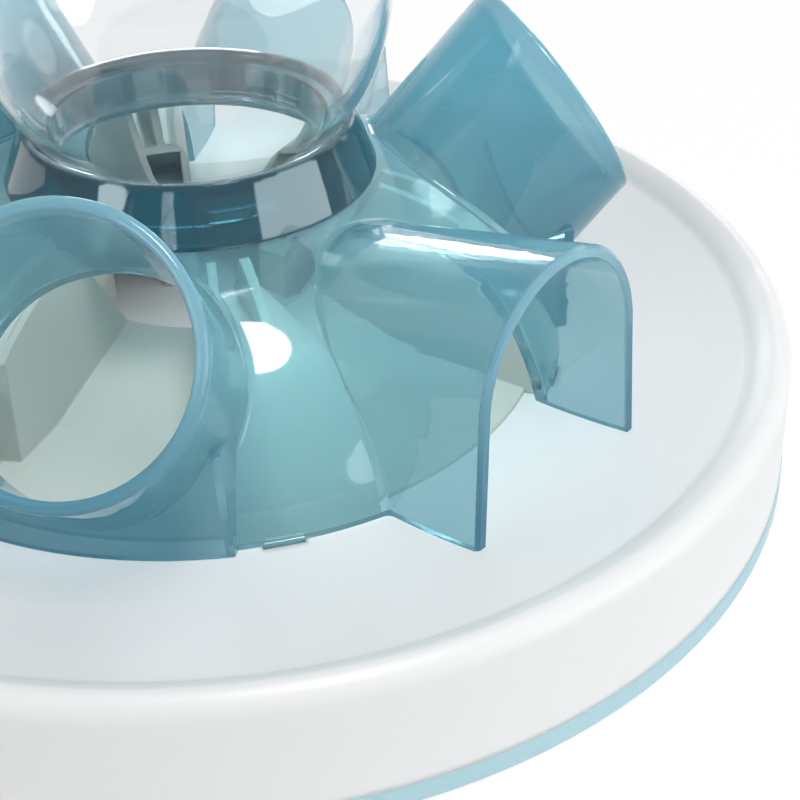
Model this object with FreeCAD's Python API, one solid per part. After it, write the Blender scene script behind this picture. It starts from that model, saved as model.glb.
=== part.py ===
import FreeCAD
import Part
import math
import os

# Cat tunnel feeder, millimetres.
# The tray stands on the ground plane and everything is centred on the vertical axis.
# Six tunnels point outward every 60 degrees: arches and raised round mouths take turns.

V = FreeCAD.Vector
origin = V(0, 0, 0)
up = V(0, 0, 1)

arch_angles = [-90, 30, 150]
round_angles = [-150, -30, 90]
web_angles = [-120, -60, 0, 60, 120, 180]
screw_angles = [-120, 0, 120]

# gaps between pieces
seat_gap = 0.1
lift_gap = 0.4
slide_gap = 0.5
tab_gap = 0.3
turn_gap = 0.4

# base tray: skirt, rounded rim and dish
tray_wall = 2.6
skirt_radius = 151.0
skirt_draft = 0.8
skirt_step_height = 5.4
rim_crest_inset = 5.4
rim_crest_height = 35.6
rim_outer_drop = 4.4
rim_outer_bulge = 1.35
rim_inner_inset = 11.6
rim_inner_bulge = 0.5
dish_flat_radius = 88.0
dish_flat_height = 24.2
dish_curve_radius = 190.0

# foot of the skirt, which stands in the anti-slip ring
foot_step = 1.7
foot_thickness = 2.4
foot_bottom = 2.4
foot_top = 8.0
foot_slope = 3.0

# ribs under the dish
rib_thickness = 1.8
rib_bottom = 9.0
rib_count = 12
rib_turn = 15
hub_radius = 16.0
hoop_radius = 100.0
rim_rib_inset = 18.1
rim_rib_top = 29.0

# anti-slip ring
ring_stand_out = 0.5
ring_draft = 0.2
ring_lip = 2.2
ring_lip_height = 7.0
ring_foot_bevel = 0.8

# dome of the tunnel housing: a circular arc turned about the axis
dome_arc_reach = 31.8
dome_arc_height = 10.1
dome_radius = 63.4
dome_wall = 2.2

# arch tunnels
arch_reach = 113.4
arch_foot_height = 26.0
arch_foot_half_width = 30.7
arch_spring_height = 57.0
arch_spring_half_width = 28.5
arch_crest_height = 85.5
arch_lean = 0.04
arch_slope = 0.235
arch_length = 76.0
arch_wall = 2.8
arch_edge_bevel = 0.9
crease_round = 2.0

# round tunnels and the upright sill bodies under them
mouth_reach = 96.9
tube_axis_drop = 20.4
mouth_radius = 30.0
mouth_tilt = 31.9
tube_wall = 3.0
tube_length = 50.0
sill_radius = 95.8
sill_half_width_low = 31.7
sill_half_width_high = 30.1
sill_top = 51.6
sill_wall = 2.6
sill_back = 58.0

# neck of the housing
neck_wall = 2.4
neck_height = 9.5

# collar ring
collar_foot_radius = 45.5
collar_wall = 2.2
collar_foot_rise = 0.5
collar_top_width = 1.65
collar_top_rise = 2.8
collar_lip_depth = 3.8
collar_bevel = 0.9
collar_skirt = 6.0

# locating tabs under the webs
tab_width = 9.0
tab_thickness = 2.0
tab_depth = 4.8
tab_root = 2.3
tab_offset = -4.0

# distributor: cone, hollow dividers and fins
cone_peak_radius = 9.0
cone_peak_rise = 28.8
cone_foot_radius = 60.0
cone_foot_rise = 5.8
cone_edge_rise = 1.2
cone_edge_lap = 4.0
cone_wall = 2.0
divider_half_angle = 10.6
divider_inner_radius = 26.0
divider_rise = 33.8
divider_wall = 2.2
divider_corner = 5.0
tall_wall_outer = 72.0
blunt_end_reach = 69.0
throat_low_radius = 26.5
throat_low_rise = 12.7
throat_high_radius = 49.5
fin_inner_radius = 16.0
fin_foot_rise = 15.8
fin_inner_rise = 21.8
fin_slope_radius = 44.0
fin_outer_radius = 66.0
fin_thickness = 2.4

# screws that hold the distributor on the tray
screw_reach = 62.0
screw_shank_radius = 1.5
screw_bore_gap = 0.05
screw_pass_gap = 0.3
screw_head_radius = 3.0
screw_head_height = 2.0
screw_length = 15.0
screw_cross_width = 0.8
screw_cross_depth = 0.9
screw_post_wall = 2.05
screw_post_drop = 1.0

# hopper globe
globe_radius = 50.0
globe_wall = 2.0
globe_rim_rise = 28.0
globe_neck_radius = 35.8
globe_neck_length = 9.0
lug_count = 3
lug_half_angle = 7
lug_lift = 1.0
lug_height = 2.6
lug_reach = 2.1
lug_root = 0.5
slot_side_gap = 1
slot_end_gap = 0.5
twist_range = 30

# lid
lid_overhang = 1.2
lid_plug_gap = 0.5
lid_flange_thickness = 2.2
lid_edge_bevel = 0.9
lid_plug_wall = 2.0
lid_plug_depth = 6.0
lid_ledge = 8.4
lid_bowl_depth = 5.0
lid_bowl_slope = 3.0
lid_bar_width = 9.0
lid_bar_rise = 1.4
lid_bar_round = 1.2

# sizes that follow from the ones above
rim_crest_radius = skirt_radius - rim_crest_inset
rim_inner_radius = skirt_radius - rim_inner_inset
foot_outer = skirt_radius - foot_step
foot_inner = foot_outer - foot_thickness
dome_crest = dome_arc_height + dome_radius
mouth_height = mouth_reach - tube_axis_drop
ceiling_radius = dome_radius - dome_wall - slide_gap
neck_inner = globe_neck_radius + turn_gap
neck_outer = neck_inner + neck_wall
neck_top = dome_crest + neck_height
divider_top = dish_flat_height + divider_rise
globe_height = neck_top + seat_gap + math.sqrt(globe_radius ** 2 - globe_neck_radius ** 2)
globe_rim_height = globe_height + globe_rim_rise
globe_neck_bottom = neck_top - globe_neck_length
lug_bottom = globe_neck_bottom + lug_lift
far_out = 200.0
edge_found = 0.01


def turned(shape, angle):
    piece = shape.copy()
    piece.rotate(origin, up, angle)
    return piece


def around(shape, angles):
    return [turned(shape, angle) for angle in angles]


def joined(shapes):
    return shapes[0].multiFuse(shapes[1:])


def revolved(edges):
    face = Part.Face(Part.Wire(edges))
    return face.revolve(origin, up, 360)


def lathe(corners):
    points = [V(r, 0, z) for r, z in corners]
    return revolved(Part.makePolygon(points + [points[0]]).Edges)


def tube(outer, inner, bottom, top):
    return lathe([(inner, bottom), (outer, bottom), (outer, top), (inner, top)])


def line(r0, z0, r1, z1):
    return Part.makeLine(V(r0, 0, z0), V(r1, 0, z1))


def arc(r0, z0, r1, z1, r2, z2):
    return Part.Arc(V(r0, 0, z0), V(r1, 0, z1), V(r2, 0, z2)).toShape()


def bowed(r0, z0, r1, z1, bulge):
    # arc between two points, its middle raised off the chord
    reach = math.hypot(r1 - r0, z1 - z0)
    middle_r = (r0 + r1) / 2 - (z1 - z0) / reach * bulge
    middle_z = (z0 + z1) / 2 + (r1 - r0) / reach * bulge
    return arc(r0, z0, middle_r, middle_z, r1, z1)


def plan_point(radius, angle, z):
    turn = math.radians(angle)
    return V(radius * math.cos(turn), radius * math.sin(turn), z)


def sector(inner, outer, start, end, bottom, top):
    # block between two radial planes
    middle = (start + end) / 2
    edges = [
        Part.Arc(plan_point(outer, start, bottom), plan_point(outer, middle, bottom),
                 plan_point(outer, end, bottom)).toShape(),
        Part.makeLine(plan_point(outer, end, bottom), plan_point(inner, end, bottom)),
        Part.makeLine(plan_point(inner, end, bottom), plan_point(inner, start, bottom)),
        Part.makeLine(plan_point(inner, start, bottom), plan_point(outer, start, bottom)),
    ]
    return Part.Face(Part.Wire(edges)).extrude(V(0, 0, top - bottom))


def dome_reach(radius, z):
    return dome_arc_reach + math.sqrt(radius ** 2 - (z - dome_arc_height) ** 2)


def dome_height(reach):
    return dome_arc_height + math.sqrt(dome_radius ** 2 - (reach - dome_arc_reach) ** 2)


def dome(radius, bottom):
    # solid under the arc of the dome, filled to the axis
    reach = dome_reach(radius, bottom)
    crest = dome_arc_height + radius
    half_turn = math.radians(45)
    middle_r = dome_arc_reach + radius * math.cos(half_turn)
    middle_z = dome_arc_height + radius * math.sin(half_turn)
    edges = [
        line(0, bottom, reach, bottom),
        arc(reach, bottom, middle_r, middle_z, dome_arc_reach, crest),
        line(dome_arc_reach, crest, 0, crest),
        line(0, crest, 0, bottom),
    ]
    return revolved(edges)


def dish_height(radius):
    # height of the dish outside its flat middle
    reach = radius - dish_flat_radius
    return dish_flat_height + dish_curve_radius - math.sqrt(dish_curve_radius ** 2 - reach ** 2)


def dish_arc(outer, offset):
    middle = (dish_flat_radius + outer) / 2
    return arc(dish_flat_radius, dish_flat_height + offset, middle, dish_height(middle) + offset,
               outer, dish_height(outer) + offset)


def dish_volume(offset, bottom):
    # everything below the dish surface, raised by an offset
    outer = rim_inner_radius
    edges = [
        line(0, dish_flat_height + offset, dish_flat_radius, dish_flat_height + offset),
        dish_arc(outer, offset),
        line(outer, dish_height(outer) + offset, outer, bottom),
        line(outer, bottom, 0, bottom),
        line(0, bottom, 0, dish_flat_height + offset),
    ]
    return revolved(edges)


def tray_shell():
    skirt_high = skirt_radius - skirt_draft
    rim_outer = rim_crest_height - rim_outer_drop
    dish_edge = dish_height(rim_inner_radius)
    under_rim = rim_crest_height - tray_wall
    under_skirt = skirt_high - tray_wall
    floor = dish_flat_height - tray_wall
    return revolved([
        line(0, dish_flat_height, dish_flat_radius, dish_flat_height),
        dish_arc(rim_inner_radius, 0),
        # rounded rim
        bowed(rim_inner_radius, dish_edge, rim_crest_radius, rim_crest_height, rim_inner_bulge),
        bowed(rim_crest_radius, rim_crest_height, skirt_high, rim_outer, rim_outer_bulge),
        line(skirt_high, rim_outer, skirt_radius, skirt_step_height),
        line(skirt_radius, skirt_step_height, foot_outer, skirt_step_height),
        # foot that stands in the ring
        line(foot_outer, skirt_step_height, foot_outer, foot_bottom),
        line(foot_outer, foot_bottom, foot_inner, foot_bottom),
        line(foot_inner, foot_bottom, foot_inner, foot_top),
        line(foot_inner, foot_top, under_skirt, foot_top + foot_slope),
        # inside of the skirt and the rim
        line(under_skirt, foot_top + foot_slope, under_skirt, rim_outer),
        line(under_skirt, rim_outer, rim_crest_radius, under_rim),
        line(rim_crest_radius, under_rim, rim_inner_radius, dish_edge - tray_wall),
        dish_arc(rim_inner_radius, -tray_wall),
        line(dish_flat_radius, floor, 0, floor),
        line(0, floor, 0, dish_flat_height),
    ])


def tray_ribs():
    # radial ribs follow the dish from the hub to the skirt, and two hoops cross them
    inner = hub_radius - rib_thickness / 2
    outer = skirt_radius - tray_wall
    corner = V(inner, -rib_thickness / 2, rib_bottom)
    blank = Part.makeBox(outer - inner, rib_thickness, dish_flat_height, corner)
    blanks = joined(around(blank, [rib_turn + 360 / rib_count * n for n in range(rib_count)]))
    under_dish = dish_volume(-tray_wall / 2, 0)
    rim_zone = tube(outer - rib_thickness, skirt_radius - rim_rib_inset, 0, rim_rib_top)
    ribs = blanks.common(under_dish.fuse(rim_zone))
    hoops = [tube(radius, radius - rib_thickness, rib_bottom, dish_flat_height - tray_wall / 2)
             for radius in (hub_radius, hoop_radius)]
    return [ribs] + hoops


def base_tray():
    body = joined([tray_shell()] + tray_ribs())
    pass_radius = screw_shank_radius + screw_pass_gap
    hole = Part.makeCylinder(pass_radius, dish_flat_height, V(screw_reach, 0, rib_bottom))
    for angle in screw_angles:
        body = body.cut(turned(hole, angle))

    # slots that take the tabs of the housing
    outer = dome_reach(dome_radius, dish_flat_height) + tab_gap
    depth = tab_thickness + 2 * tab_gap
    width = tab_width + 2 * tab_gap
    slot = Part.makeBox(depth, width, dish_flat_height, V(outer - depth, -width / 2, rib_bottom))
    for angle in web_angles:
        body = body.cut(turned(slot, angle + tab_offset))
    return body


def anti_slip_ring():
    # channel section that grips the foot of the skirt
    outer = skirt_radius + ring_stand_out
    foot_side = foot_inner - seat_gap
    inner = foot_side - ring_lip
    return lathe([
        (inner + ring_foot_bevel, 0),
        (outer - ring_foot_bevel, 0),
        (outer, ring_foot_bevel),
        (outer - ring_draft, skirt_step_height),
        (foot_outer + seat_gap, skirt_step_height),
        (foot_outer + seat_gap, foot_bottom),
        (foot_side, foot_bottom),
        (foot_side, ring_lip_height),
        (inner, ring_lip_height),
        (inner, ring_foot_bevel),
    ])


def arch_point(half_width, z):
    return V(arch_reach - (z - arch_foot_height) * arch_lean, half_width, z)


def arch_volume(inset, length):
    # tunnel along +X: an arch profile pushed inward and slightly downward
    low = arch_foot_half_width - inset
    spring = arch_spring_half_width - inset
    crest = arch_crest_height - inset
    foot = dish_flat_height - tray_wall
    edges = [
        Part.makeLine(arch_point(-low, foot), arch_point(-spring, arch_spring_height)),
        Part.Arc(arch_point(-spring, arch_spring_height), arch_point(0, crest),
                 arch_point(spring, arch_spring_height)).toShape(),
        Part.makeLine(arch_point(spring, arch_spring_height), arch_point(low, foot)),
        Part.makeLine(arch_point(low, foot), arch_point(-low, foot)),
    ]
    return Part.Face(Part.Wire(edges)).extrude(V(-length, 0, -length * arch_slope))


def mouth_point():
    return V(mouth_reach, 0, mouth_height)


def mouth_axis():
    tilt = math.radians(mouth_tilt)
    return V(math.cos(tilt), 0, math.sin(tilt))


def round_tube(radius, ahead, length):
    # mouth disc pushed inward and downward at 45 degrees
    start = mouth_point() + V(ahead, 0, ahead)
    disc = Part.Face(Part.Wire([Part.makeCircle(radius, start, mouth_axis())]))
    return disc.extrude(V(-length, 0, -length))


def mouth_round():
    # half-round end of the tube, turned about the mouth's own axis
    across = V(-mouth_axis().z, 0, mouth_axis().x)
    outer = mouth_point() + across * (mouth_radius + tube_wall / 2)
    inner = mouth_point() + across * (mouth_radius - tube_wall / 2)
    crest = mouth_point() + across * mouth_radius + mouth_axis() * (tube_wall / 2)
    section = Part.Face(Part.Wire([Part.Arc(outer, crest, inner).toShape(), Part.makeLine(inner, outer)]))
    return section.revolve(mouth_point(), mouth_axis(), 360)


def sill_outline(front, half_width, z):
    side = math.degrees(math.asin(half_width / front))
    return Part.Wire([
        Part.makeLine(V(sill_back, -half_width, z), plan_point(front, -side, z)),
        Part.Arc(plan_point(front, -side, z), V(front, 0, z), plan_point(front, side, z)).toShape(),
        Part.makeLine(plan_point(front, side, z), V(sill_back, half_width, z)),
        Part.makeLine(V(sill_back, half_width, z), V(sill_back, -half_width, z)),
    ])


def sill_volume(inset, bottom, top):
    # upright body under the round mouth, slightly narrower towards the top
    draft = (sill_half_width_low - sill_half_width_high) / (sill_top - dish_flat_height)
    low = sill_half_width_low - draft * (bottom - dish_flat_height) - inset
    high = sill_half_width_low - draft * (top - dish_flat_height) - inset
    front = sill_radius - inset
    return Part.makeLoft([sill_outline(front, low, bottom), sill_outline(front, high, top)], True, True)


def turned_back(edge, angle):
    # points along an edge, seen with the tunnel at this angle pointing along +X
    first, last = edge.ParameterRange
    points = [edge.valueAt(first + (last - first) * share) for share in (0.1, 0.3, 0.5, 0.7, 0.9)]
    turn = FreeCAD.Rotation(up, -angle)
    return [turn.multVec(point) for point in points]


def off_dome(point):
    reach = math.hypot(point.x, point.y) - dome_arc_reach
    return math.hypot(reach, point.z - dome_arc_height) - dome_radius


def crease_edges(blank):
    # edges where the arches and the tops of the round tunnels leave the dome
    found = []
    for angles, width in ((arch_angles, arch_foot_half_width + arch_wall), (round_angles, mouth_radius)):
        for angle in angles:
            for edge in blank.Edges:
                points = turned_back(edge, angle)
                off = max(abs(off_dome(point)) for point in points)
                high = angles is arch_angles or max(point.z for point in points) > sill_top
                level = min(point.z for point in points) > dome_crest - crease_round
                beside = points[2].x > 0 and abs(points[2].y) < width
                if off < edge_found and beside and high and not level:
                    found.append(edge)
    return found


def arch_mouth_edges(blank):
    found = []
    for angle in arch_angles:
        for edge in blank.Edges:
            points = turned_back(edge, angle)
            off = max(abs(p.x - arch_point(0, p.z).x) for p in points)
            if off < edge_found and max(p.z for p in points) > arch_foot_height:
                found.append(edge)
    return found


def tunnel_blank():
    # filled outside form of the dome and its six tunnels
    below = dish_flat_height - tray_wall
    forms = [dome(dome_radius, below)]
    forms += around(arch_volume(0, arch_length), arch_angles)
    forms += around(round_tube(mouth_radius + tube_wall / 2, 0, tube_length), round_angles)
    forms += around(sill_volume(0, below, sill_top), round_angles)
    blank = joined(forms)
    blank = blank.makeFillet(crease_round, crease_edges(blank))
    return blank.makeChamfer(arch_edge_bevel, arch_mouth_edges(blank))


def tunnel_hollows():
    below = dish_flat_height - 2 * tray_wall
    ahead = tube_wall
    hollows = [dome(dome_radius - dome_wall, below)]
    hollows += around(arch_volume(arch_wall, arch_length + 2 * arch_wall), arch_angles)
    hollows += around(round_tube(mouth_radius - tube_wall / 2, ahead, tube_length + 2 * ahead), round_angles)
    hollows += around(sill_volume(sill_wall, below, sill_top - sill_wall), round_angles)
    return hollows


def bayonet_slots():
    # straight entry from above, then sideways under a ledge
    inner = neck_inner - neck_wall
    outer = neck_outer + neck_wall
    half = lug_half_angle + slot_side_gap
    bottom = lug_bottom - slot_end_gap
    slots = []
    for n in range(lug_count):
        start = n * 360 / lug_count
        end = start + twist_range
        entry = sector(inner, outer, end - half, end + half, bottom, neck_top + 1)
        run = sector(inner, outer, start - half, end + half, bottom, lug_bottom + lug_height + slot_end_gap)
        slots.append(entry.fuse(run))
    return slots


def locating_tabs():
    outer = dome_reach(dome_radius, dish_flat_height)
    bottom = dish_flat_height - tab_depth
    tab = Part.makeBox(tab_thickness, tab_width, tab_depth + tab_root,
                       V(outer - tab_thickness, -tab_width / 2, bottom))
    return [turned(tab, angle + tab_offset) for angle in web_angles]


def tunnel_housing():
    body = tunnel_blank()
    for hollow in tunnel_hollows():
        body = body.cut(hollow)
    body = body.cut(dish_volume(lift_gap, -far_out))
    neck = tube(neck_outer, neck_inner, dome_crest - dome_wall, neck_top)
    body = joined([body, neck] + around(mouth_round(), round_angles) + locating_tabs())
    body = body.cut(Part.makeCylinder(neck_inner, far_out, V(0, 0, divider_top)))
    for slot in bayonet_slots():
        body = body.cut(slot)
    return body


def collar_ring():
    foot_height = dome_height(collar_foot_radius) + collar_foot_rise
    top = neck_top + collar_top_rise
    lip = neck_outer + seat_gap
    cone = lathe([
        (collar_foot_radius - collar_wall, foot_height - collar_skirt),
        (collar_foot_radius, foot_height - collar_skirt),
        (collar_foot_radius, foot_height),
        (lip + collar_top_width + collar_bevel / 2, top - collar_bevel),
        (lip + collar_top_width, top),
        (lip, top),
        (lip, top - collar_lip_depth),
        (collar_foot_radius - collar_wall, foot_height),
    ])
    return cone.cut(dome(dome_radius + seat_gap, dish_flat_height))


def wedge(half_angle, inset, near, far, bottom, top):
    # block between two radial planes, its sides moved inward by an inset
    turn = math.radians(half_angle)
    away = V(math.sin(turn) * inset, -math.cos(turn) * inset, bottom)
    along = V(math.cos(turn), math.sin(turn), 0)
    start = along * near + away
    end = along * far + away
    corners = [start, end, V(end.x, -end.y, bottom), V(start.x, -start.y, bottom), start]
    return Part.Face(Part.makePolygon(corners)).extrude(V(0, 0, top - bottom))


def beside_round(inset):
    # room in front of the divider's blunt end, beside the round tunnel at -30 degrees
    half = sill_half_width_low - sill_wall + inset
    room = Part.makeBox(far_out, 2 * half, far_out, V(blunt_end_reach - inset, -half, 0))
    return turned(room, -30)


def divider_block(inset, bottom):
    near = divider_inner_radius + inset
    block = wedge(divider_half_angle, inset, near, skirt_radius, bottom, divider_top - inset)
    return block.common(dome(ceiling_radius - inset, bottom)).cut(beside_round(inset))


def tall_wall():
    # wall of the divider on the side of the round tunnel, up to the dome
    wall = wedge(divider_half_angle, 0, divider_inner_radius, tall_wall_outer, dish_flat_height, dome_crest)
    wall = wall.cut(wedge(divider_half_angle, divider_wall, 0, skirt_radius, 0, far_out))
    return wall.common(Part.makeBox(far_out, far_out, far_out, V(0, -far_out, 0)))


def fin():
    corners = [
        (fin_inner_radius, dish_flat_height + fin_foot_rise),
        (fin_inner_radius, dish_flat_height + fin_inner_rise),
        (fin_slope_radius, dome_crest),
        (fin_outer_radius, dome_crest),
        (fin_outer_radius, dish_flat_height + fin_foot_rise),
    ]
    points = [V(r, -fin_thickness / 2, z) for r, z in corners]
    return Part.Face(Part.makePolygon(points + [points[0]])).extrude(V(0, fin_thickness, 0))


def divider_solid():
    block = divider_block(0, dish_flat_height)
    soft = [edge for edge in block.Edges
            if abs(edge.CenterOfMass.z - divider_top) < edge_found and edge.CenterOfMass.y > divider_wall]
    block = block.makeFillet(divider_corner, soft)
    tall = tall_wall().fuse(fin()).common(dome(ceiling_radius, rib_bottom))
    return block.fuse(tall)


def each_web(shape):
    # the arch lies on the plus side of every second web
    first = around(shape, web_angles[0::2])
    second = around(shape.mirror(origin, V(0, 1, 0)), web_angles[1::2])
    return first + second


def distributor_cone():
    peak = dish_flat_height + cone_peak_rise
    foot = dish_flat_height + cone_foot_rise
    edge = dish_flat_radius - slide_gap
    return lathe([
        (0, peak - cone_wall),
        (cone_peak_radius - cone_wall / 2, peak - cone_wall),
        (cone_foot_radius - cone_wall / 2, foot - cone_wall),
        (edge - cone_edge_lap, dish_flat_height),
        (edge, dish_flat_height),
        (edge, dish_flat_height + cone_edge_rise),
        (cone_foot_radius, foot),
        (cone_peak_radius, peak),
        (0, peak),
    ])


def distributor():
    body = joined([distributor_cone()] + each_web(divider_solid()))
    for hollow in each_web(divider_block(divider_wall, rib_bottom)):
        body = body.cut(hollow)
    # throat under the neck
    throat_low = dish_flat_height + throat_low_rise
    body = body.cut(lathe([(0, throat_low), (throat_low_radius, throat_low),
                           (throat_high_radius, dome_crest), (0, dome_crest)]))
    post = Part.makeCylinder(screw_shank_radius + screw_post_wall, divider_rise - screw_post_drop,
                             V(screw_reach, 0, dish_flat_height))
    body = joined([body] + around(post, screw_angles))
    bore_radius = screw_shank_radius + screw_bore_gap
    bore = Part.makeCylinder(bore_radius, screw_length + 1, V(screw_reach, 0, dish_flat_height - 1))
    for angle in screw_angles:
        body = body.cut(turned(bore, angle))
    # the tray starts to rise outside its flat middle
    return body.cut(tube(skirt_radius, dish_flat_radius - slide_gap / 2, 0, dish_flat_height + seat_gap))


def distributor_screws():
    seat = dish_flat_height - tray_wall
    foot = seat - screw_head_height
    head = Part.makeCylinder(screw_head_radius, screw_head_height, V(screw_reach, 0, foot))
    shank = Part.makeCylinder(screw_shank_radius, screw_length, V(screw_reach, 0, seat))
    screw = head.fuse(shank)
    arm = screw_head_radius * 2 / 3
    half = screw_cross_width / 2
    for across, along in ((arm, half), (half, arm)):
        recess = Part.makeBox(2 * across, 2 * along, screw_cross_depth, V(screw_reach - across, -along, foot))
        screw = screw.cut(recess)
    return Part.makeCompound(around(screw, screw_angles))


def hopper_globe():
    inner_radius = globe_radius - globe_wall
    neck_in = globe_neck_radius - globe_wall
    rim_out = math.sqrt(globe_radius ** 2 - globe_rim_rise ** 2)
    rim_in = math.sqrt(inner_radius ** 2 - globe_rim_rise ** 2)
    foot_out = globe_height - math.sqrt(globe_radius ** 2 - globe_neck_radius ** 2)
    foot_in = globe_height - math.sqrt(inner_radius ** 2 - neck_in ** 2)
    shell = revolved([
        line(neck_in, globe_neck_bottom, globe_neck_radius, globe_neck_bottom),
        line(globe_neck_radius, globe_neck_bottom, globe_neck_radius, foot_out),
        arc(globe_neck_radius, foot_out, globe_radius, globe_height, rim_out, globe_rim_height),
        line(rim_out, globe_rim_height, rim_in, globe_rim_height),
        arc(rim_in, globe_rim_height, inner_radius, globe_height, neck_in, foot_in),
        line(neck_in, foot_in, neck_in, globe_neck_bottom),
    ])
    lugs = []
    for n in range(lug_count):
        centre = n * 360 / lug_count
        lugs.append(sector(globe_neck_radius - lug_root, globe_neck_radius + lug_reach,
                           centre - lug_half_angle, centre + lug_half_angle,
                           lug_bottom, lug_bottom + lug_height))
    return joined([shell] + lugs)


def hopper_lid():
    flange = math.sqrt(globe_radius ** 2 - globe_rim_rise ** 2) + lid_overhang
    plug = math.sqrt((globe_radius - globe_wall) ** 2 - globe_rim_rise ** 2) - lid_plug_gap
    bowl = plug - lid_ledge
    seat = globe_rim_height + lift_gap
    top = seat + lid_flange_thickness
    floor = top - lid_bowl_depth
    cap = lathe([
        (0, floor),
        (bowl - lid_bowl_slope, floor),
        (bowl, top - lid_edge_bevel),
        (bowl + lid_edge_bevel, top),
        (flange - lid_edge_bevel, top),
        (flange, top - lid_edge_bevel),
        (flange, seat),
        (plug, seat),
        (plug, seat - lid_plug_depth),
        (plug - lid_plug_wall, seat - lid_plug_depth),
        (plug - lid_plug_wall, seat),
        (bowl + lid_plug_wall, seat),
        (bowl - lid_bowl_slope + lid_plug_wall, floor - lid_plug_wall),
        (0, floor - lid_plug_wall),
    ])
    reach = bowl + lid_edge_bevel
    bar_top = top + lid_bar_rise
    corner = V(-reach, -lid_bar_width / 2, floor)
    bar = Part.makeBox(2 * reach, lid_bar_width, bar_top - floor, corner)
    grip = [edge for edge in bar.Edges if abs(edge.CenterOfMass.z - bar_top) < edge_found]
    return cap.fuse(bar.makeFillet(lid_bar_round, grip))


pieces = {
    "base_tray": base_tray,
    "anti_slip_ring": anti_slip_ring,
    "distributor": distributor,
    "distributor_screws": distributor_screws,
    "tunnel_housing": tunnel_housing,
    "collar_ring": collar_ring,
    "hopper_globe": hopper_globe,
    "hopper_lid": hopper_lid,
}

os.makedirs("parts", exist_ok=True)
for name, build in pieces.items():
    shape = build()
    print(name, len(shape.Solids), "solid", "valid", shape.isValid(), round(shape.Volume / 1000, 1), "cm3")
    shape.exportStep("parts/" + name + ".step")
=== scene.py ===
import math
import bpy
from mathutils import Matrix, Vector

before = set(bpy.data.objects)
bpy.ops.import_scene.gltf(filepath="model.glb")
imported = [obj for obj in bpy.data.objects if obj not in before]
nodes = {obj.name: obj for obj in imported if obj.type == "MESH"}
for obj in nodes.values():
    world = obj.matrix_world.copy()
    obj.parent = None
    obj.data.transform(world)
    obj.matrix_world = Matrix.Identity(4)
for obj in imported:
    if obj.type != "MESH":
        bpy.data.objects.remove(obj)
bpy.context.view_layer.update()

# Cat tunnel feeder: white tray, see-through blue tunnel housing, clear hopper.
# Everything is in metres, and the tray stands on z = 0.

print("frame loaded:", ", ".join(sorted(nodes)))

evenly = (1.0, 1.0, 1.0)  # stretch of a pattern along x, y and z
noiseRange = (0.3, 0.7)  # nearly all of a noise pattern lies between these
edgeSamples = 4


# Node helpers

def newMaterial(name):
    material = bpy.data.materials.new(name)
    material.use_nodes = True
    material.node_tree.nodes.clear()
    return material


def addNode(material, kind, values=None, **settings):
    # values go to the input sockets: outputs are linked, numbers and colours are written on the socket
    node = material.node_tree.nodes.new(kind)
    for key, setting in settings.items():
        setattr(node, key, setting)
    for key, value in (values or {}).items():
        socket = node.inputs[key]
        if isinstance(value, bpy.types.NodeSocket):
            material.node_tree.links.new(value, socket)
        elif socket.type == "RGBA":
            socket.default_value = (*value, 1.0)
        else:
            socket.default_value = value
    return node


def objectPoint(material, stretch=evenly):
    # the piece's own coordinates, which move with it
    coordinates = addNode(material, "ShaderNodeTexCoord")
    mapping = addNode(material, "ShaderNodeMapping", {
        "Vector": coordinates.outputs["Object"],
        "Scale": stretch,
    })
    return mapping.outputs["Vector"]


def noise(material, scale, detail, roughness=0.5, stretch=evenly):
    node = addNode(material, "ShaderNodeTexNoise", {
        "Vector": objectPoint(material, stretch),
        "Scale": scale,
        "Detail": detail,
        "Roughness": roughness,
    })
    return node.outputs["Fac"]


def mathNode(material, operation, *values):
    node = addNode(material, "ShaderNodeMath", dict(enumerate(values)), operation=operation)
    return node.outputs["Value"]


def spread(material, value, target, source=noiseRange):
    # carries a value from the source range to the target range, and no further
    node = addNode(material, "ShaderNodeMapRange", {
        "Value": value,
        "From Min": source[0],
        "From Max": source[1],
        "To Min": target[0],
        "To Max": target[1],
    })
    return node.outputs["Result"]


def shareOf(material, value, source=noiseRange):
    return spread(material, value, (0.0, 1.0), source)


def colourBetween(material, share, first, second):
    # a colour mix has its two colours on sockets 6 and 7, and its result on output 2
    values = {"Factor": share, 6: first, 7: second}
    node = addNode(material, "ShaderNodeMix", values, data_type="RGBA")
    return node.outputs[2]


def numberBetween(material, share, first, second):
    values = {"Factor": share, "A": first, "B": second}
    node = addNode(material, "ShaderNodeMix", values, data_type="FLOAT")
    return node.outputs["Result"]


def shaderBetween(material, share, first, second):
    return addNode(material, "ShaderNodeMixShader", {"Fac": share, 1: first, 2: second}).outputs["Shader"]


def bumpFrom(material, height, strength, depth, softEdge=None):
    values = {"Height": height, "Strength": strength, "Distance": depth}
    if softEdge:
        # moulded edges are never knife sharp: they are rounded in the shading, below the grain
        edge = addNode(material, "ShaderNodeBevel", {"Radius": softEdge}, samples=edgeSamples)
        values["Normal"] = edge.outputs["Normal"]
    return addNode(material, "ShaderNodeBump", values).outputs["Normal"]


def seenBy(material):
    # 1 for rays straight from the camera or through clear plastic, and 1 for mirrored rays
    path = addNode(material, "ShaderNodeLightPath")
    eye = mathNode(material, "MAXIMUM", path.outputs["Is Camera Ray"], path.outputs["Is Transmission Ray"])
    return eye, path.outputs["Is Glossy Ray"]


def finishMaterial(material, surface):
    addNode(material, "ShaderNodeOutputMaterial", {"Surface": surface})
    return material


def dress(name, material):
    slots = nodes[name].data.materials
    slots.clear()
    slots.append(material)


# Finishes

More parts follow.
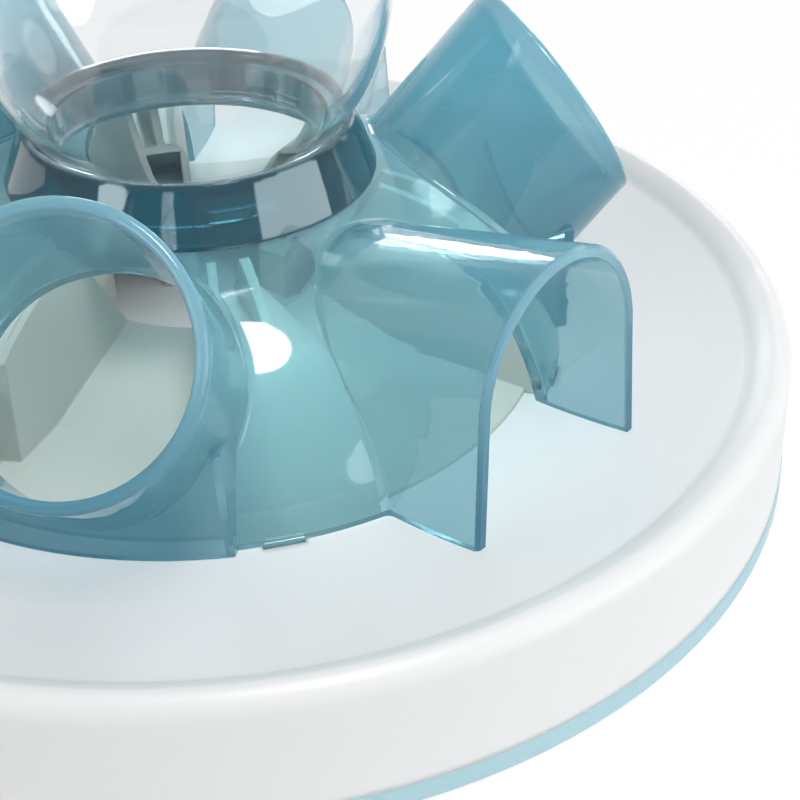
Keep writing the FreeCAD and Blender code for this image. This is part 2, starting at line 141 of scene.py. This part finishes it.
def mouldedPlastic(name, look):
    # opaque moulded plastic or rubber: faint cloudiness, fine grain and an uneven gloss
    material = newMaterial(name)
    clouds = shareOf(material, noise(material, **look["clouds"]))
    grain = noise(material, **look["grain"])
    scuffs = noise(material, **look["scuffs"])
    shader = addNode(material, "ShaderNodeBsdfPrincipled", {
        "Base Color": colourBetween(material, clouds, look["colour"], look["shade"]),
        "Roughness": spread(material, scuffs, look["rough"], look["scuffRange"]),
        "Normal": bumpFrom(material, grain, look["grainStrength"], look["grainDepth"], look["softEdge"]),
        "IOR": look["ior"],
    })
    return finishMaterial(material, shader.outputs["BSDF"])


def drawnSteel(name, look):
    # bright steel: turned rings, faint stains and fine scratches
    material = newMaterial(name)
    rings = addNode(material, "ShaderNodeTexWave", wave_type="RINGS", rings_direction="Z", values={
        "Vector": objectPoint(material),
        "Scale": look["ringScale"],
        "Distortion": look["ringWobble"],
    })
    stains = shareOf(material, noise(material, **look["stains"]))
    scratches = noise(material, **look["scratches"])
    shader = addNode(material, "ShaderNodeBsdfPrincipled", {
        "Metallic": 1.0,
        "Base Color": colourBetween(material, stains, look["colour"], look["shade"]),
        "Roughness": spread(material, scratches, look["rough"]),
        "Normal": bumpFrom(material, rings.outputs["Fac"], look["ringStrength"], look["ringDepth"]),
    })
    return finishMaterial(material, shader.outputs["BSDF"])


def outwardFrom(material, turn, reach, azimuth):
    # distance from the upright axis along the nearest of three tunnels, which stand a third of a turn apart
    halfSector = math.pi / 3.0
    beside = mathNode(material, "SUBTRACT", turn, math.radians(azimuth))
    folded = mathNode(material, "WRAP", beside, halfSector, -halfSector)
    return mathNode(material, "MULTIPLY", reach, mathNode(material, "COSINE", folded))


def pastPlane(material, outward, height, mouth):
    # distance past a mouth's leaning plane, which is given by a point and its rise in degrees
    along = math.cos(math.radians(mouth["rise"]))
    up = math.sin(math.radians(mouth["rise"]))
    flat = mathNode(material, "MULTIPLY_ADD", outward, along, -mouth["reach"] * along)
    risen = mathNode(material, "MULTIPLY_ADD", height, up, -mouth["height"] * up)
    return mathNode(material, "ADD", flat, risen)


def tunnelShares(material, tunnels):
    # how far a point belongs to each place, and how far it is up the wall, all from 0 to 1
    split = addNode(material, "ShaderNodeSeparateXYZ", {"Vector": objectPoint(material)})
    east, north, height = split.outputs
    turn = mathNode(material, "ARCTAN2", north, east)
    eastSquare = mathNode(material, "MULTIPLY", east, east)
    reach = mathNode(material, "SQRT", mathNode(material, "MULTIPLY_ADD", north, north, eastSquare))
    outwards = {}
    lips = []
    for shape in ("round", "arch"):
        mouth = tunnels[shape]["mouth"]
        outwards[shape] = outwardFrom(material, turn, reach, mouth["azimuth"])
        past = pastPlane(material, outwards[shape], height, mouth)
        lips.append(shareOf(material, past, mouth["lipDepth"]))
    nearer = mathNode(material, "SUBTRACT", outwards["round"], outwards["arch"])
    shares = {
        "arch": shareOf(material, nearer, tunnels["arch"]["nearer"]),
        "round": shareOf(material, nearer, tunnels["round"]["nearer"]),
        "lip": mathNode(material, "MAXIMUM", *lips),
    }
    return shares, shareOf(material, height, tunnels["fade"])


def clearPlastic(name, look):
    # see-through plastic: a tinted clear body mixed with a share of milky haze
    material = newMaterial(name)
    waves = noise(material, **look["waves"])
    flow = noise(material, **look["flow"])
    hazeColour = colourBetween(material, shareOf(material, flow), look["hazeColour"], look["hazeShade"])
    facing = addNode(material, "ShaderNodeLayerWeight").outputs["Facing"]
    haze = spread(material, facing, look["haze"], look["hazeEdge"])
    if look["tunnels"]:
        shares, risen = tunnelShares(material, look["tunnels"])
        for place, share in shares.items():
            spot = look["tunnels"][place]
            # painted light and shade: each place's haze is darker low on the housing and paler higher up,
            # as the light falls there
            spotColour = colourBetween(material, risen, spot["lowShadedColour"], spot["highLitColour"])
            hazeColour = colourBetween(material, share, hazeColour, spotColour)
            haze = numberBetween(material, share, haze, spot["haze"])
    surface = {
        "Roughness": spread(material, flow, look["rough"]),
        "Normal": bumpFrom(material, waves, look["waveStrength"], look["waveDepth"], look["softEdge"]),
        "IOR": look["ior"],
        "Specular IOR Level": look["specular"],
        "Specular Tint": look["shine"],
    }
    clear = {"Base Color": look["clearColour"], "Transmission Weight": 1.0}
    glass = addNode(material, "ShaderNodeBsdfPrincipled", {**surface, **clear})
    milk = addNode(material, "ShaderNodeBsdfPrincipled", {**surface, "Base Color": hazeColour})
    body = shaderBetween(material, haze, glass.outputs["BSDF"], milk.outputs["BSDF"])

    # lamps shine straight through, with the tint of lampColour
    shadow = addNode(material, "ShaderNodeLightPath").outputs["Is Shadow Ray"]
    window = addNode(material, "ShaderNodeBsdfTransparent", {"Color": look["lampColour"]})
    return finishMaterial(material, shaderBetween(material, shadow, body, window.outputs["BSDF"]))


# Tray

tray = {
    "colour": (0.76, 0.765, 0.765),
    "shade": (0.73, 0.74, 0.745),
    "clouds": {"scale": 9.0, "detail": 4.0},
    "grain": {"scale": 900.0, "detail": 2.0},
    "grainStrength": 0.06,
    "grainDepth": 0.0004,
    "scuffs": {"scale": 22.0, "detail": 5.0, "roughness": 0.62, "stretch": (1.0, 6.0, 1.0)},
    "scuffRange": (0.35, 0.75),
    "rough": (0.34, 0.48),
    "ior": 1.5,
    "softEdge": 0.003,
}
dress("base_tray", mouldedPlastic("trayPlastic", tray))

# Distributor, the white insert inside, painted in the darker, greenish shaded tone it shows under the
# housing: painted shade

insert = {
    **tray,
    # painted shade: a white plastic given the darker greenish tone it takes in the shade of the housing
    "colour": (0.53, 0.57, 0.535),
    "shade": (0.51, 0.55, 0.515),
    "rough": (0.3, 0.38),
    "softEdge": 0.0008,
}
dress("distributor", mouldedPlastic("insertPlastic", insert))

# Anti-slip ring

rubber = {
    **tray,
    "colour": (0.40, 0.60, 0.66),
    "shade": (0.37, 0.57, 0.63),
    "clouds": {"scale": 14.0, "detail": 4.0},
    "grain": {"scale": 1400.0, "detail": 2.0},
    "grainStrength": 0.2,
    "grainDepth": 0.0003,
    "scuffs": {"scale": 30.0, "detail": 5.0, "roughness": 0.62, "stretch": (1.0, 6.0, 1.0)},
    "rough": (0.5, 0.68),
    "softEdge": 0.0006,
}
dress("anti_slip_ring", mouldedPlastic("ringRubber", rubber))

# Tunnel housing

shell = {
    "clearColour": (0.50, 0.765, 0.81),
    "lampColour": (0.87, 0.90, 0.905),
    "haze": (0.22, 0.4),  # share of haze seen square on, and edge on
    "hazeEdge": (0.55, 1.0),
    "hazeColour": (0.20, 0.37, 0.42),
    "hazeShade": (0.18, 0.34, 0.395),
    "waves": {"scale": 60.0, "detail": 2.0},
    "waveStrength": 0.03,
    "waveDepth": 0.001,
    "flow": {"scale": 18.0, "detail": 3.0, "stretch": (1.0, 1.0, 0.4)},
    "rough": (0.03, 0.07),
    "ior": 1.49,
    "specular": 0.5,
    "shine": (1.0, 1.0, 1.0),
    "softEdge": None,
    # haze colours for each kind of tunnel and for the mouth lips: the tunnels' own blues, with painted
    # shade low down and painted light higher up
    "tunnels": {
        "arch": {
            "mouth": {
                "azimuth": 30.0,
                "reach": 0.1134,
                "height": 0.026,
                "rise": 2.3,
                "lipDepth": (-0.0012, -0.0004),
            },
            "nearer": (-0.004, -0.03),
            "haze": 0.25,
            "lowShadedColour": (0.12, 0.30, 0.40),
            "highLitColour": (0.20, 0.41, 0.50),
        },
        "round": {
            "mouth": {
                "azimuth": 90.0,
                "reach": 0.0969,
                "height": 0.0765,
                "rise": 31.9,
                "lipDepth": (-0.0035, -0.0015),
            },
            "nearer": (0.004, 0.03),  # by how much a point leans to a round tunnel more than to an arch
            "haze": 0.55,
            "lowShadedColour": (0.035, 0.19, 0.28),
            "highLitColour": (0.14, 0.405, 0.52),
        },
        # lips: paler haze colours as a painted highlight along the rounded mouth edges, darker low down as
        # painted shade
        "lip": {
            "haze": 0.72,
            "lowShadedColour": (0.05, 0.22, 0.32),
            "highLitColour": (0.22, 0.45, 0.55),
        },
        "fade": (0.035, 0.085),  # heights between which the haze turns from its darker low colour to its paler high colour: painted shade low on the housing, painted light higher up
    },
}
dress("tunnel_housing", clearPlastic("shellPlastic", shell))

# Collar ring

collar = {
    **shell,
    "clearColour": (0.05, 0.19, 0.25),
    "lampColour": (0.3, 0.42, 0.45),
    "haze": (0.4, 0.6),
    "hazeColour": (0.025, 0.10, 0.14),
    "hazeShade": (0.02, 0.09, 0.125),
    "rough": (0.02, 0.04),
    "ior": 1.75,
    "specular": 1.0,
    "shine": (0.78, 0.95, 0.99),
    "softEdge": 0.0009,
    "tunnels": None,
}
dress("collar_ring", clearPlastic("collarPlastic", collar))

# Hopper globe

globe = {
    **shell,
    "clearColour": (0.95, 0.965, 0.97),
    "lampColour": (0.95, 0.96, 0.96),
    "haze": (0.03, 0.03),
    "hazeColour": (0.7, 0.74, 0.75),
    "hazeShade": (0.66, 0.7, 0.71),
    "rough": (0.01, 0.03),
    "tunnels": None,
}
dress("hopper_globe", clearPlastic("globePlastic", globe))

# Lid

lid = {
    **tray,
    "colour": (0.06, 0.24, 0.31),
    "shade": (0.05, 0.22, 0.285),
    "rough": (0.22, 0.34),
    "softEdge": 0.0006,
}
dress("hopper_lid", mouldedPlastic("lidPlastic", lid))

# Screws

screw = {
    "colour": (0.60, 0.60, 0.62),
    "shade": (0.48, 0.48, 0.50),
    "stains": {"scale": 220.0, "detail": 4.0},
    "scratches": {"scale": 900.0, "detail": 3.0, "roughness": 0.6, "stretch": (1.0, 12.0, 1.0)},
    "ringScale": 700.0,
    "ringWobble": 0.4,
    "ringStrength": 0.15,
    "ringDepth": 0.0002,
    "rough": (0.24, 0.42),
}
dress("distributor_screws", drawnSteel("screwSteel", screw))
print("CAD pieces dressed")


# Floor

paper = {
    "size": 8.0,
    "colour": (0.90, 0.90, 0.90),
    "rough": 0.9,
    "glow": 0.86,  # white share where the floor is seen; the rest keeps the feeder's shadow
    "fade": (0.25, 1.1),  # distances between which the floor turns plain white
}


def addFloor():
    bpy.ops.mesh.primitive_plane_add(size=paper["size"], location=(0.0, 0.0, 0.0))
    floor = bpy.context.object
    floor.name = "floor"
    material = newMaterial("floorPaper")
    shader = addNode(material, "ShaderNodeBsdfPrincipled", {
        "Base Color": paper["colour"],
        "Roughness": paper["rough"],
    })
    white = addNode(material, "ShaderNodeEmission")
    eye, mirrored = seenBy(material)
    reach = addNode(material, "ShaderNodeVectorMath", {0: objectPoint(material)}, operation="LENGTH")
    glow = spread(material, reach.outputs["Value"], (paper["glow"], 1.0), paper["fade"])
    share = mathNode(material, "MULTIPLY", mathNode(material, "MAXIMUM", eye, mirrored), glow)
    mix = shaderBetween(material, share, shader.outputs["BSDF"], white.outputs["Emission"])
    floor.data.materials.append(finishMaterial(material, mix))


# Room and backdrop

room = {
    "colour": (0.97, 0.985, 1.0),
    "strength": 0.35,
    "backdropAzimuth": 40.0,  # the side away from the camera
    "backdropEdge": (0.75, 0.95),  # cosines away from that azimuth between which the room turns white
}


def addWorld():
    # white for the eye, and behind the feeder for reflections too; all else is a dim pale room
    world = bpy.data.worlds.new("studioWorld")
    bpy.context.scene.world = world
    world.use_nodes = True
    world.node_tree.nodes.clear()
    dim = addNode(world, "ShaderNodeBackground", {"Color": room["colour"], "Strength": room["strength"]})
    white = addNode(world, "ShaderNodeBackground", {"Color": (1.0, 1.0, 1.0)})
    direction = addNode(world, "ShaderNodeTexCoord").outputs["Generated"]
    turn = math.radians(room["backdropAzimuth"])
    away = (math.cos(turn), math.sin(turn), 0.0)
    behind = addNode(world, "ShaderNodeVectorMath", {0: direction, 1: away}, operation="DOT_PRODUCT")
    backdrop = shareOf(world, behind.outputs["Value"], room["backdropEdge"])
    eye, mirrored = seenBy(world)
    share = mathNode(world, "MAXIMUM", eye, mathNode(world, "MULTIPLY", mirrored, backdrop))
    mix = shaderBetween(world, share, dim.outputs["Background"], white.outputs["Background"])
    addNode(world, "ShaderNodeOutputWorld", {"Surface": mix})


# Lamps

lampDistance = 1.4
lampAim = (0.0, 0.0, 0.05)

# name: azimuth and elevation in degrees, radius in degrees across and upward, brightness
lamps = {
    "overheadBox": (-101.0, 70.0, 9.5, 12.5, 17.6),
    "frontBox": (-71.0, 9.0, 25.0, 13.0, 2.9),
    "sideBox": (-23.0, 18.0, 11.0, 10.0, 1.6),
    "rightBox": (14.0, 19.0, 7.0, 8.0, 6.0),
    "rearBox": (49.0, 18.5, 7.0, 7.0, 8.0),
    "leftBox": (176.0, 12.0, 9.0, 14.0, 4.0),
}


def addLamp(name, azimuth, elevation, across, upward, brightness):
    # an elliptical softbox that faces the feeder
    turn = math.radians(azimuth)
    rise = math.radians(elevation)
    direction = Vector((math.cos(turn) * math.cos(rise), math.sin(turn) * math.cos(rise), math.sin(rise)))
    bpy.ops.object.light_add(type="AREA", location=Vector(lampAim) + direction * lampDistance)
    lamp = bpy.context.object
    lamp.name = name
    width = 2.0 * lampDistance * math.tan(math.radians(across))
    height = 2.0 * lampDistance * math.tan(math.radians(upward))
    area = math.pi * width * height / 4.0
    lamp.data.shape = "ELLIPSE"
    lamp.data.size = width
    lamp.data.size_y = height
    lamp.data.energy = brightness * math.pi * area
    lamp.rotation_euler = (-direction).to_track_quat("-Z", "Y").to_euler()


# Camera, at the photograph's view

view = {
    "place": (-0.243982, -0.270970, 0.245598),
    "right": (0.638725, -0.769431, -0.002515),  # the camera's own axes
    "upward": (0.43061, 0.354748, 0.829897),
    "backward": (-0.637657, -0.531159, 0.557911),
    "sensor": 36.0,
    "lens": 72.2324,
    "shift": (-0.004718, -0.006094),
    "nearest": 0.01,
}


def addCamera():
    data = bpy.data.cameras.new("photoCamera")
    camera = bpy.data.objects.new("photoCamera", data)
    bpy.context.scene.collection.objects.link(camera)
    turn = Matrix((view["right"], view["upward"], view["backward"])).transposed()
    camera.matrix_world = Matrix.Translation(Vector(view["place"])) @ turn.to_4x4()
    data.sensor_width = view["sensor"]
    data.lens = view["lens"]
    data.shift_x, data.shift_y = view["shift"]
    data.clip_start = view["nearest"]
    bpy.context.scene.camera = camera


addFloor()
addWorld()
for lampName, facts in lamps.items():
    addLamp(lampName, *facts)
addCamera()
bpy.context.scene.view_settings.view_transform = "Standard"
print("studio ready")
